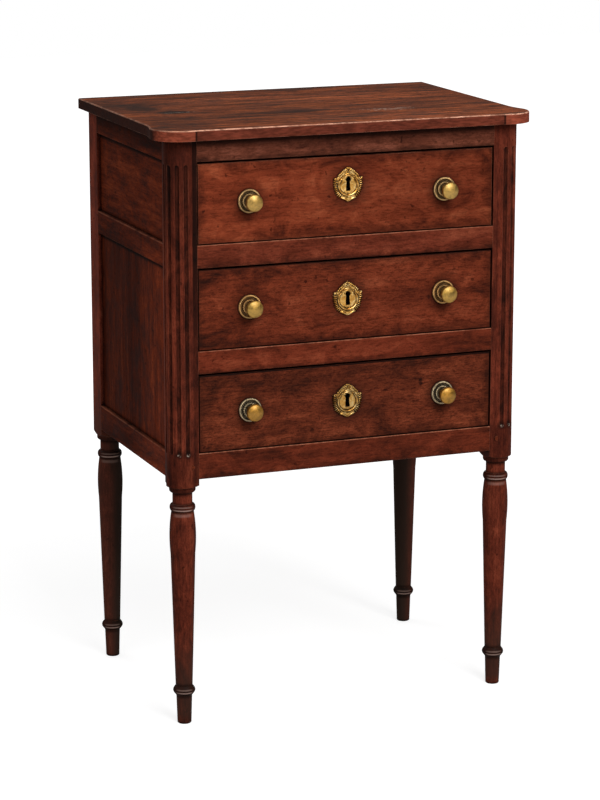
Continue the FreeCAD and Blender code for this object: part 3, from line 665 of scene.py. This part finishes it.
def ring_marks(height, colour):
    """Painted shade under the collar, dark rings, painted highlight lines round the front of each ring, and
    a painted highlight band.
    """
    # painted shade under the collar
    under = span_mm(height, COLLAR_SHADE_Z, 0.0, 0.6)
    colour = mixed(colour, GRIME_AND_SHADE_TONE, under, span_mm(height, COLLAR_SHADE_END_Z, 1.0, 0.0))
    normal = add(height.id_data, "NewGeometry").outputs["Normal"]
    facing = span(measure("DOT_PRODUCT", normal, RING_HIGHLIGHT_AIM), 0.5, 0.85)
    for low, high in (LOWER_RING[:2], UPPER_RING[:2]):
        middle = (low + high) / 2.0
        half = (high - low) / 2.0
        colour = mixed(colour, GRIME_AND_SHADE_TONE, line_at(height, middle, (half, 1.7 * half), 0.62))
        # painted highlight lines round the front of the ring
        for offset, strength in RING_HIGHLIGHT_LINES:
            line = line_at(height, middle + offset, RING_HIGHLIGHT_WIDTH, strength)
            colour = mixed(colour, RING_HIGHLIGHT_TONE, line, facing)
    # a painted highlight band on the body below the upper ring
    return mixed(colour, RING_HIGHLIGHT_TONE, line_at(height, BODY_HIGHLIGHT_Z, BODY_HIGHLIGHT_WIDTH, 0.16), facing)


def column_marks(place, clouds, colour):
    """A dark block below the flutes, and dirt and painted shade in the flutes and beside the column."""
    x, y, z = axes_of(place)
    across = less(size_of(x), LEG_X * MM)
    along = less(y, FRONT_LEG_Y * MM)
    from_axis = measure("LENGTH", add(x.id_data, "CombineXYZ", {0: across, 1: along}).outputs[0])
    block = most(span_mm(z, BLOCK_FADE_Z, 0.74, 1.2), span_mm(z, COLLAR_LIGHT_Z, 1.0, 0.0))
    # dirt and painted shade in the flutes and on the strip beside the column
    sunk = times(span_mm(from_axis, COLUMN_DIRT_AND_SHADE, 0.7, 0.0), span(clouds, 0.34, 0.62, 1.15, 0.55))
    return mixed(shaded(colour, block), GRIME_AND_SHADE_TONE, sunk, span_mm(z, COLUMN_FOOT_Z))


def leg_soot(height, clouds, colour):
    """Soot low down on the legs, rubbed off at the very foot."""
    ragged = plus(height, times(clouds, SOOT_RAGGED * MM))
    soot = span_mm(ragged, SOOT_Z, 0.72, 0.0)
    return mixed(colour, LEG_SOOT_AND_SHADE_TONE, soot, span_mm(height, FOOT_RUBBED_Z, 0.3, 1.0))


def strip_dirt_and_shade(place, clouds, colour):
    """Dirt and painted shade on the strips beside the drawers, and painted shadow below the top, most on the
    left post.
    """
    x, _, z = axes_of(place)
    # dirt and painted shade on the strip beside the drawers
    strip = times(span_mm(size_of(x), STRIP_DIRT_AND_SHADE_X, 1.0, 0.0), span_mm(z, STRIP_DIRT_AND_SHADE_Z, 0.4, 0.9))
    # painted shadow on the posts below the top
    ragged = plus(z, times(clouds, HIGH_SHADE_RAGGED * MM))
    dirt_and_shade = most(strip, span_mm(ragged, HIGH_SHADE_Z, 0.0, 0.62))
    return mixed(colour, GRIME_AND_SHADE_TONE, dirt_and_shade, span_mm(x, LEFT_TO_RIGHT_X, 1.0, 0.3))


def flute_end_marks(place, colour):
    """Dirt and specks of pale filling at the lower ends of the two flutes that face the front."""
    ends = []
    for side in (-1, 1):
        for flute in FLUTE_TURNS[:2]:
            turn = math.radians(DIAGONAL + flute)
            across = side * (LEG_X + COLUMN_RADIUS * math.sin(turn))
            ends.append((across, FRONT_LEG_Y - COLUMN_RADIUS * math.cos(turn), FLUTE_LOW + FLUTE_END_LIFT))
    colour = mixed(colour, GRIME_AND_SHADE_TONE, near(place, ends, FLUTE_END_DIRT), 0.7)
    specks = span(noise(place, 420.0, detail=3.0), 0.42, 0.56)
    low_down = span_mm(axes_of(place)[2], FLUTE_FILLING_Z, 1.0, 0.0)
    return mixed(colour, CHIP_TONE, specks, low_down, near(place, ends, FLUTE_FILLING))


def post_age(place, clouds, colour):
    """Marks of the front posts, from their flutes down to their feet."""
    height = axes_of(place)[2]
    colour = column_marks(place, clouds, colour)
    colour = leg_soot(height, clouds, colour)
    colour = ring_marks(height, colour)
    colour = strip_dirt_and_shade(place, clouds, colour)
    return flute_end_marks(place, colour)


def rear_age(place, clouds, colour):
    """Painted shade on the legs at the rear, darkest on the side towards the middle."""
    x, _, z = axes_of(place)
    # painted shade on the rear legs, darkest on the side towards the middle
    inner = span_mm(less(size_of(x), LEG_X * MM), REAR_LEG_SHADE, 1.0, 0.62)
    colour = mixed(colour, LEG_SOOT_AND_SHADE_TONE, inner, span_mm(z, REAR_LEG_SHADE_Z, 1.0, 0.0))
    return ring_marks(z, colour)


# Mesh helpers
def object_from(name, mesh_data, material):
    mesh = bpy.data.meshes.new(name)
    mesh_data.to_mesh(mesh)
    mesh_data.free()
    mesh.materials.append(material)
    made = bpy.data.objects.new(name, mesh)
    bpy.context.collection.objects.link(made)
    return made


def piece_from(name, mesh_data, material, body, node, sharp=35.0):
    """A smooth object that takes the place of one node of the frame."""
    bmesh.ops.recalc_face_normals(mesh_data, faces=mesh_data.faces)
    piece = object_from(name, mesh_data, material)
    for polygon in piece.data.polygons:
        polygon.use_smooth = True
    piece.data.set_sharp_from_angle(angle=math.radians(sharp))
    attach(piece, body)
    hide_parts(node)


def turns_to(end, steps):
    """Angles from nothing to an end in even steps."""
    return [end * step / steps for step in range(steps + 1)]


def between(start, end, share):
    return [a + (b - a) * share for a, b in zip(start, end)]


def skin(mesh_data, rings, joined=False):
    """Faces between closed rings of points in millimetres; the ends are closed, or joined."""
    rows = [[mesh_data.verts.new(Vector(point) * MM) for point in ring] for ring in rings]
    count = len(rows[0])
    for low, high in zip(rows, rows[1:] + rows[:1] if joined else rows[1:]):
        for index in range(count):
            after = (index + 1) % count
            mesh_data.faces.new((low[index], low[after], high[after], high[index]))
    if not joined:
        mesh_data.faces.new(rows[0][::-1])
        mesh_data.faces.new(rows[-1])


def round_arc(start, through, end, steps):
    """Points on the circle through three points, after the first one."""
    (ax, ay), (bx, by), (cx, cy) = start, through, end
    scale = 2.0 * (ax * (by - cy) + bx * (cy - ay) + cx * (ay - by))
    a2, b2, c2 = ax * ax + ay * ay, bx * bx + by * by, cx * cx + cy * cy
    ox = (a2 * (by - cy) + b2 * (cy - ay) + c2 * (ay - by)) / scale
    oy = (a2 * (cx - bx) + b2 * (ax - cx) + c2 * (bx - ax)) / scale
    first = math.atan2(ay - oy, ax - ox)
    last = math.atan2(cy - oy, cx - ox)
    middle = math.atan2(by - oy, bx - ox)
    sweep = (last - first) % math.tau
    if (middle - first) % math.tau > sweep:
        sweep -= math.tau
    radius = math.hypot(ax - ox, ay - oy)
    turns = [first + turn for turn in turns_to(sweep, steps)[1:]]
    return [(ox + radius * math.cos(turn), oy + radius * math.sin(turn)) for turn in turns]


# Posts with their turned legs
def ring_points(low, high, inner, outer, keen, steps=10):
    """A turned ring as radius and height, about half round or with a keener rim."""
    middle = (low + high) / 2.0
    points = []
    for turn in turns_to(math.pi, steps):
        height = middle - (high - low) / 2.0 * math.cos(turn)
        points.append((inner + (outer - inner) * math.sin(turn) ** keen, height))
    return points


def leg_profile():
    """Radius and height of the turned leg from the foot up."""
    points = [(FOOT_RADIUS - FOOT_BEVEL[0], 0.0), (FOOT_RADIUS, FOOT_BEVEL[1]), FOOT_TOP]
    points += ring_points(*LOWER_RING)
    points += [BODY_LOW, BODY_HIGH]
    points += round_arc(BODY_HIGH, SWELL, BODY_TOP, SWELL_STEPS)
    points += ring_points(*UPPER_RING)
    points += [(NECK_RADIUS, NECK_LOW), (NECK_RADIUS, NECK_TOP)]
    for turn in turns_to(math.pi / 2.0, OVOLO_STEPS)[1:]:
        rise = (OVOLO[1] - NECK_TOP) * (1.0 - math.cos(turn))
        points.append((NECK_RADIUS + (OVOLO[0] - NECK_RADIUS) * math.sin(turn), NECK_TOP + rise))
    points.append((OVOLO[0], COLLAR_TOP))
    return points


def flute_radius(height):
    """How wide a flute is cut at a height, with a round end below and above."""
    beyond = max(FLUTE_LOW + FLUTE_RADIUS - height, height - FLUTE_HIGH + FLUTE_RADIUS, 0.0)
    return math.sqrt(max(FLUTE_RADIUS ** 2 - beyond ** 2, 0.0))


def column_radius(turn, height):
    """The fluted round corner of a front post at an angle from the front outwards."""
    cut = flute_radius(height)
    radius = COLUMN_RADIUS
    for flute in FLUTE_TURNS:
        apart = turn - math.radians(DIAGONAL + flute)
        aside = FLUTE_AXIS * math.sin(apart)
        if abs(aside) < cut and math.cos(apart) > 0.0:
            radius = min(radius, FLUTE_AXIS * math.cos(apart) - math.sqrt(cut ** 2 - aside ** 2))
    return radius


def post_turns(fluted):
    """Angles of the post's upright edges, closer over the column, and the column's two limits."""
    if not fluted:
        return [math.radians(COARSE_TURN * step) for step in range(round(360.0 / COARSE_TURN))], None
    beyond = math.degrees(math.acos(POST_HALF / COLUMN_RADIUS))
    first, last = -beyond, 90.0 + beyond
    fine = [first + (last - first) * step / FINE_TURNS for step in range(FINE_TURNS + 1)]
    coarse = [DIAGONAL + 90.0 + COARSE_TURN * step for step in range(round(180.0 / COARSE_TURN) + 1)]
    rest = [turn for turn in coarse if last + 1.0 < turn < first + 359.0]
    return [math.radians(turn) for turn in fine + rest], (math.radians(first), math.radians(last))


def block_levels(fluted):
    """Heights of the post's square part above its shoulder."""
    if not fluted:
        return [POST_TOP]
    turns = turns_to(math.pi / 2.0, FLUTE_END_STEPS)
    ends = [FLUTE_RADIUS * (1.0 - math.cos(turn)) for turn in turns]
    low = [FLUTE_LOW - FLUTE_END_LIP] + [FLUTE_LOW + end for end in ends]
    high = [FLUTE_HIGH - end for end in reversed(ends)] + [FLUTE_HIGH + FLUTE_END_LIP]
    return low + high + [POST_TOP]


def post(node, side, leg_y, fluted, material):
    """A post in one piece with its leg; a fluted one has a round column on its outer corner."""
    turns, column = post_turns(fluted)

    def block_radius(turn, height):
        if column and column[0] <= turn <= column[1]:
            return column_radius(turn, height)
        return POST_HALF / max(abs(math.sin(turn)), abs(math.cos(turn)))

    def point(turn, radius, height):
        return (side * (LEG_X + radius * math.sin(turn)), leg_y - radius * math.cos(turn), height)

    rings = [[point(turn, radius, height) for turn in turns] for radius, height in leg_profile()]
    shoulder = []
    for turn in turns:
        radius = block_radius(turn, COLLAR_TOP)
        shoulder.append(point(turn, radius, COLLAR_TOP + (radius - OVOLO[0]) * SHOULDER_RISE))
    rings.append(shoulder)
    for height in block_levels(fluted):
        rings.append([point(turn, block_radius(turn, height), height) for turn in turns])
    mesh_data = bmesh.new()
    skin(mesh_data, rings)
    piece_from(node + "_turned", mesh_data, material, "carcass", node)


# Knobs and roses
def turned(mesh_data, profile, x, z, segments, ripple=None):
    """A turned form on the drawer face; the profile is radius and distance out."""
    rings = []
    for row, (radius, out) in enumerate(profile):
        ring = []
        for turn in turns_to(math.tau, segments)[:-1]:
            more = ripple(row, turn) if ripple else 0.0
            across = (radius + more) * math.cos(turn)
            up = (radius + more) * math.sin(turn)
            ring.append((x + across, FACE_Y - out - more * RIPPLE_OUT, z + up))
        rings.append(ring)
    skin(mesh_data, rings)


def half_round(middle, half, out, rise, steps=8):
    turns = turns_to(math.pi, steps)
    return [(middle + half * math.cos(turn), out + rise * math.sin(turn)) for turn in turns]


def rose_profile():
    """A milled outer bead, a wide groove and a raised inner ring."""
    return [*ROSE_EDGE, *half_round(*ROSE_BEAD), *ROSE_GROOVE, *half_round(*ROSE_RING), *ROSE_HOLLOW]


def rose_milling(row, turn):
    """How far the milling of a rose stands out on a row of its profile."""
    for rows, depth, count, slant in MILLING:
        if row in rows:
            return depth * math.cos(count * turn + slant * row)
    return 0.0


def knob_profile():
    """A slim waisted neck, and a wide head with a low dome."""
    points = list(KNOB_NECK)
    for through, end, steps in KNOB_ARCS:
        points += round_arc(points[-1], through, end, steps)
    return points


def knobs(drawer, head_metal, rose_metal):
    head = bmesh.new()
    rose = bmesh.new()
    for side in (-1, 1):
        turned(head, knob_profile(), side * KNOB_X, KNOB_Z[drawer], KNOB_SEGMENTS)
        turned(rose, rose_profile(), side * KNOB_X, KNOB_Z[drawer], ROSE_SEGMENTS, rose_milling)
    body = drawer + "_drawer"
    piece_from(body + "_knobs_turned", head, head_metal, body, body + "_knobs", sharp=50.0)
    piece_from(body + "_roses_milled", rose, rose_metal, body, body + "_knob_roses", sharp=60.0)


# Escutcheons
def plate_radius(turn):
    """Distance of the plate's outline from its middle; the turn starts at the foot."""
    mirrored = [(-x, z) for x, z in reversed(PLATE_HALF[1:-1])]
    outline = list(PLATE_HALF) + mirrored
    aim = (math.sin(turn), -math.cos(turn))
    for (ax, az), (bx, bz) in zip(outline, outline[1:] + outline[:1]):
        across = aim[0] * (bz - az) - aim[1] * (bx - ax)
        if abs(across) <= PARALLEL:
            continue
        reach = (ax * (bz - az) - az * (bx - ax)) / across
        share = (ax * aim[1] - az * aim[0]) / across
        if reach > 0.0 and -EDGE_SLACK <= share <= 1.0 + EDGE_SLACK:
            return reach
    return PLATE_HALF[0][1]


def keyhole():
    """Points round the keyhole from the middle of its foot, evenly apart."""
    join = math.sqrt(KEY_ROUND ** 2 - KEY_SLOT_TOP ** 2)
    corners = [(0.0, -KEY_ROUND_UP), (KEY_SLOT_FOOT, -KEY_ROUND_UP), (KEY_SLOT_TOP, KEY_ROUND_UP - join)]
    end = (-KEY_SLOT_TOP, KEY_ROUND_UP - join)
    corners += round_arc(corners[-1], (0.0, KEY_ROUND_UP + KEY_ROUND), end, KEY_ROUND_STEPS)
    corners += [(-KEY_SLOT_FOOT, -KEY_ROUND_UP), (0.0, -KEY_ROUND_UP)]
    lengths = [math.dist(a, b) for a, b in zip(corners, corners[1:])]
    points = []
    for step in range(PLATE_STEPS):
        rest = sum(lengths) * step / PLATE_STEPS
        index = 0
        while rest > lengths[index]:
            rest -= lengths[index]
            index += 1
        points.append(between(corners[index], corners[index + 1], rest / lengths[index]))
    return points


def plate(mesh_data, z):
    """The plate with an oval field inside a raised rim, and a fringe of rays on both sides."""
    hole = keyhole()

    def at(step, share, out):
        turn = math.tau * step / PLATE_STEPS
        aim = (math.sin(turn), -math.cos(turn))
        field = (FIELD[0] * aim[0], FIELD[1] * aim[1] + FIELD[2])
        radius = plate_radius(turn)
        edge = (radius * aim[0], radius * aim[1])
        start, end = (hole[step], field) if share <= 1.0 else (field, edge)
        x, height = between(start, end, share if share <= 1.0 else share - 1.0)
        from_foot = min(turn, math.tau - turn)
        fringe = max(0.0, share - RAY_START) if RAY_TURNS[0] < from_foot < RAY_TURNS[1] else 0.0
        wave = math.cos(RAY_COUNT * turn)
        grow = 1.0 + RAY_REACH * wave * fringe
        lift = RAY_RISE * wave * min(fringe * RAY_STEEPNESS, 1.0) * min(out, 1.0)
        return (x * grow, FACE_Y - out - lift, z + height * grow)

    rows = ((0.0, 0.0),) + PLATE_RISE + ((2.0, 0.0),)
    skin(mesh_data, [[at(step, share, out) for step in range(PLATE_STEPS)] for share, out in rows], True)


def bead(mesh_data, x, z, out, radius, steps=10):
    """A small cast ball."""
    turns = turns_to(math.tau, 2 * steps)[:-1]
    rings = []
    for fall in turns_to(math.pi, steps)[1:-1]:
        wide = radius * math.sin(fall)
        y = FACE_Y - out - radius * math.cos(fall)
        rings.append([(x + wide * math.cos(turn), y, z + wide * math.sin(turn)) for turn in turns])
    skin(mesh_data, rings)


def cast_strand(mesh_data, path, radii, out):
    """A round strand along a path on the plate; it gets thinner as its radii say."""
    rings = []
    for index, (x, z) in enumerate(path):
        before = path[max(index - 1, 0)]
        after = path[min(index + 1, len(path) - 1)]
        along = Vector((after[0] - before[0], after[1] - before[1])).normalized()
        ring = []
        for turn in turns_to(math.tau, STRAND_SIDES)[:-1]:
            aside = radii[index] * math.cos(turn)
            y = FACE_Y - out - radii[index] * math.sin(turn)
            ring.append((x - along.y * aside, y, z + along.x * aside))
        rings.append(ring)
    skin(mesh_data, rings)


def scroll(mesh_data, x, z, side):
    """A scroll that winds inwards to a bead eye."""
    path = []
    radii = []
    for step in range(SCROLL_STEPS + 1):
        share = step / SCROLL_STEPS
        turn = SCROLL_START + math.tau * SCROLL_TURNS * share
        radius = SCROLL_SIZE * (1.0 - SCROLL_WIND * share)
        path.append((x + side * radius * math.cos(turn), z + radius * math.sin(turn)))
        radii.append(SCROLL_THICK * (1.0 - SCROLL_THIN * share))
    cast_strand(mesh_data, path, radii, SCROLL_OUT)
    bead(mesh_data, x, z, SCROLL_EYE[0], SCROLL_SIZE * SCROLL_EYE[1])


def arc_strand(mesh_data, start, through, end, thick, out, z):
    """A strand on an arc that is thickest in its middle."""
    path = [start] + round_arc(start, through, end, STRAND_STEPS)
    swell = [math.sin(turn) for turn in turns_to(math.pi, STRAND_STEPS)]
    radii = [thick * (STRAND_END + (1.0 - STRAND_END) * share) for share in swell]
    cast_strand(mesh_data, [(x, z + height) for x, height in path], radii, out)


def escutcheon(drawer, material):
    """The plate with its crest, strands, scrolls and beads."""
    z = PLATE_Z[drawer]
    cast = bmesh.new()
    plate(cast, z)

    def on_side(side, points):
        return [(side * x, height) for x, height in points]

    for side in (-1, 1):
        for x, height in round_arc(*on_side(side, CREST_ARC), CREST_COUNT):
            bead(cast, x, z + height, *CREST_BEAD)
        for *arc, thick, out in HALF_STRANDS:
            arc_strand(cast, *on_side(side, arc), thick, out, z)
        scroll(cast, side * SCROLL_PLACE[0], z + SCROLL_PLACE[1], side)
        for x, height, out, radius in HALF_BEADS:
            bead(cast, side * x, z + height, out, radius)
    arc_strand(cast, *BROW_STRAND, z)
    x, height, out, radius = PEAK_BEAD
    bead(cast, x, z + height, out, radius)
    body = drawer + "_drawer"
    node = body + "_escutcheon"
    piece_from(node + "_cast", cast, material, body, node, sharp=60.0)


# Floor, light, camera
def studio():
    scene = bpy.context.scene
    scene.view_settings.view_transform = "Standard"
    camera = bpy.data.objects.new("camera", bpy.data.cameras.new("camera"))
    camera.data.lens = CAMERA_LENS
    camera.data.sensor_width = SENSOR_WIDTH
    camera.location = CAMERA_PLACE
    camera.rotation_euler = (math.pi / 2.0 - CAMERA_PITCH, 0.0, -CAMERA_YAW)
    scene.collection.objects.link(camera)
    scene.camera = camera
    for name, place, size, power in LAMPS:
        light = bpy.data.lights.new(name, "AREA")
        light.size = size
        light.energy = power
        lamp = bpy.data.objects.new(name, light)
        lamp.location = place
        lamp.rotation_euler = (LAMP_TARGET - Vector(place)).to_track_quat("-Z", "Y").to_euler()
        scene.collection.objects.link(lamp)


def sky():
    """Soft light from overhead; the picture and glass see white, and metal sees white high up."""
    world = bpy.data.worlds.new("studio")
    bpy.context.scene.world = world
    world.use_nodes = True
    tree = world.node_tree
    tree.nodes.clear()
    path = add(tree, "LightPath").outputs
    aim = axes_of(add(tree, "TexCoord").outputs["Generated"])[2]
    lit = span(aim, 0.0, 0.9, *SKY_LEVELS)
    shown = times(path["Is Glossy Ray"], span(aim, 0.2, 0.8))
    strength = most(lit, shown, path["Is Transmission Ray"], path["Is Camera Ray"])
    light = add(tree, "Background", {"Color": (1.0, 1.0, 1.0, 1.0), "Strength": strength})
    add(tree, "OutputWorld", {"Surface": light.outputs[0]})


def floor():
    mesh_data = bmesh.new()
    bmesh.ops.create_grid(mesh_data, x_segments=4, y_segments=4, size=FLOOR_REACH / 2.0)
    material, tree, place = new_material("pale_floor")
    pale = ramp(noise(place, 3.0), list(zip((0.3, 0.7), FLOOR_TONES)))
    matte = add(tree, "BsdfDiffuse", {"Color": pale})
    level = span(measure("LENGTH", place), *FLOOR_GLOW_REACH, *FLOOR_GLOW)
    path = add(tree, "LightPath").outputs
    mirrored = most(path["Is Glossy Ray"], path["Is Transmission Ray"])
    front = span(axes_of(place)[1], *FLOOR_MIRRORED_Y, FLOOR_MIRRORED, 0.0)
    shown = most(path["Is Camera Ray"], times(mirrored, front))
    glow = add(tree, "Emission", {"Strength": times(shown, level)})
    both = add(tree, "AddShader", {0: matte.outputs[0], 1: glow.outputs[0]})
    add(tree, "OutputMaterial", {"Surface": both.outputs[0]})
    ground = object_from("floor", mesh_data, material)


def dress(names, material):
    """Gives frame nodes a material."""
    for name in names:
        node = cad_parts[name]
        node.data.materials.clear()
        node.data.materials.append(material)


# The whole object
def dress_drawer(drawer, seed, across, deep, iron):
    """Materials and fittings of one drawer."""
    body = drawer + "_drawer"
    front = wood(drawer + "_front_wood", 0, FRONT_TONES[drawer], 17.3 + seed, front_age(drawer),
                 grit=1.0 + 0.25 * seed, wear=FRONT_WEAR[drawer])
    dress([body + "_front"], front)
    dress([body + "_left_side", body + "_right_side"], deep)
    dress([body + "_back", body + "_bottom"], across)
    dress([body + "_knob_nuts", body + "_lock_case", body + "_lock_bolt"], iron)
    tones = [lighter(KNOB_TONES[drawer], share) for share in KNOB_SHARES]
    brass = metal(drawer + "_knob_brass", tones, KNOB_DIRT_AND_SHADE, 0.5, 1.0 + seed, coat=0.3, neck=14.0)
    tones = [lighter(ROSE_TONES[drawer], share) for share in ROSE_SHARES]
    groove = ROSE_GROOVES[drawer]
    old_brass = metal(drawer + "_rose_brass", tones, groove, 0.42, 1.5 + seed, reach=3.8, clean=0.84)
    knobs(drawer, brass, old_brass)
    # escutcheons darker on the lower drawers: painted shade
    tones = [lighter(colour, PLATE_SHADE_BY_DRAWER[drawer]) for colour in GILT_TONES]
    gilt = metal(drawer + "_gilt_brass", tones, GILT_DIRT, 0.26, 2.0 + seed, reach=2.0, clean=0.84, coat=0.3)
    escutcheon(drawer, gilt)


studio()
sky()
floor()
side_deep, side_upright = [
    wood("side_wood_" + name, axis, SIDE_TONES, 1.0 + axis, side_age,
         streaky=0.34, grit=1.1, contrast=1.05, level=0.02)
    for axis, name in ((1, "deep"), (2, "upright"))]
inner_across, inner_deep, inner_upright = [
    wood("inner_wood_" + name, axis, INNER_TONES, 5.0 + axis, gloss=0.65, wear=0.2)
    for axis, name in enumerate(("across", "deep", "upright"))]
back_wood = wood("back_wood", 0, BACK_TONES, 3.0)
post_wood = wood("post_wood", 2, POST_TONES, 4.0, post_age, streaky=0.34, gloss=0.48, wear=0.3, level=0.035)
rear_post_wood = wood("rear_post_wood", 2, REAR_TONES, 4.5, rear_age, streaky=0.34, wear=0.3, level=0.03)
top_wood = wood(
    "top_wood", 0, TOP_TONES, 9.0, top_age, figure=14.0, fine=110.0, draw=0.12, streaky=0.7, cloudy=0.34,
    grit=1.7, contrast=1.12, wear=0.5, line=1.0, level=0.04, wear_and_highlight_tone=TOP_WEAR_AND_HIGHLIGHT_TONE)
old_iron = metal("old_iron", IRON_TONES, IRON_DIRT, 0.5, 3.0)

dress(["top"], top_wood)
for seed, (node, tones) in enumerate(RAIL_TONES.items()):
    dress([node], wood(node + "_wood", 0, tones, 3.0 + 0.7 * seed, rail_age(node), line=0.8))
dress(["back_top_rail", "back_bottom_rail", "drawer_stops", "rail_pegs"], back_wood)
dress(["back_panel"], inner_upright)
dress(["drawer_runners", "drawer_guides", "top_kickers"], inner_deep)
for name, side in (("left", -1), ("right", 1)):
    parts = ("top_rail", "middle_rail", "bottom_rail", "upper_panel")
    dress([name + "_" + part for part in parts], side_deep)
    dress([name + "_lower_panel"], side_upright)
    post("front_" + name + "_post", side, FRONT_LEG_Y, True, post_wood)
    post("rear_" + name + "_post", side, REAR_LEG_Y, False, rear_post_wood)
for seed, drawer in enumerate(DRAWERS):
    dress_drawer(drawer, seed, inner_across, inner_deep, old_iron)
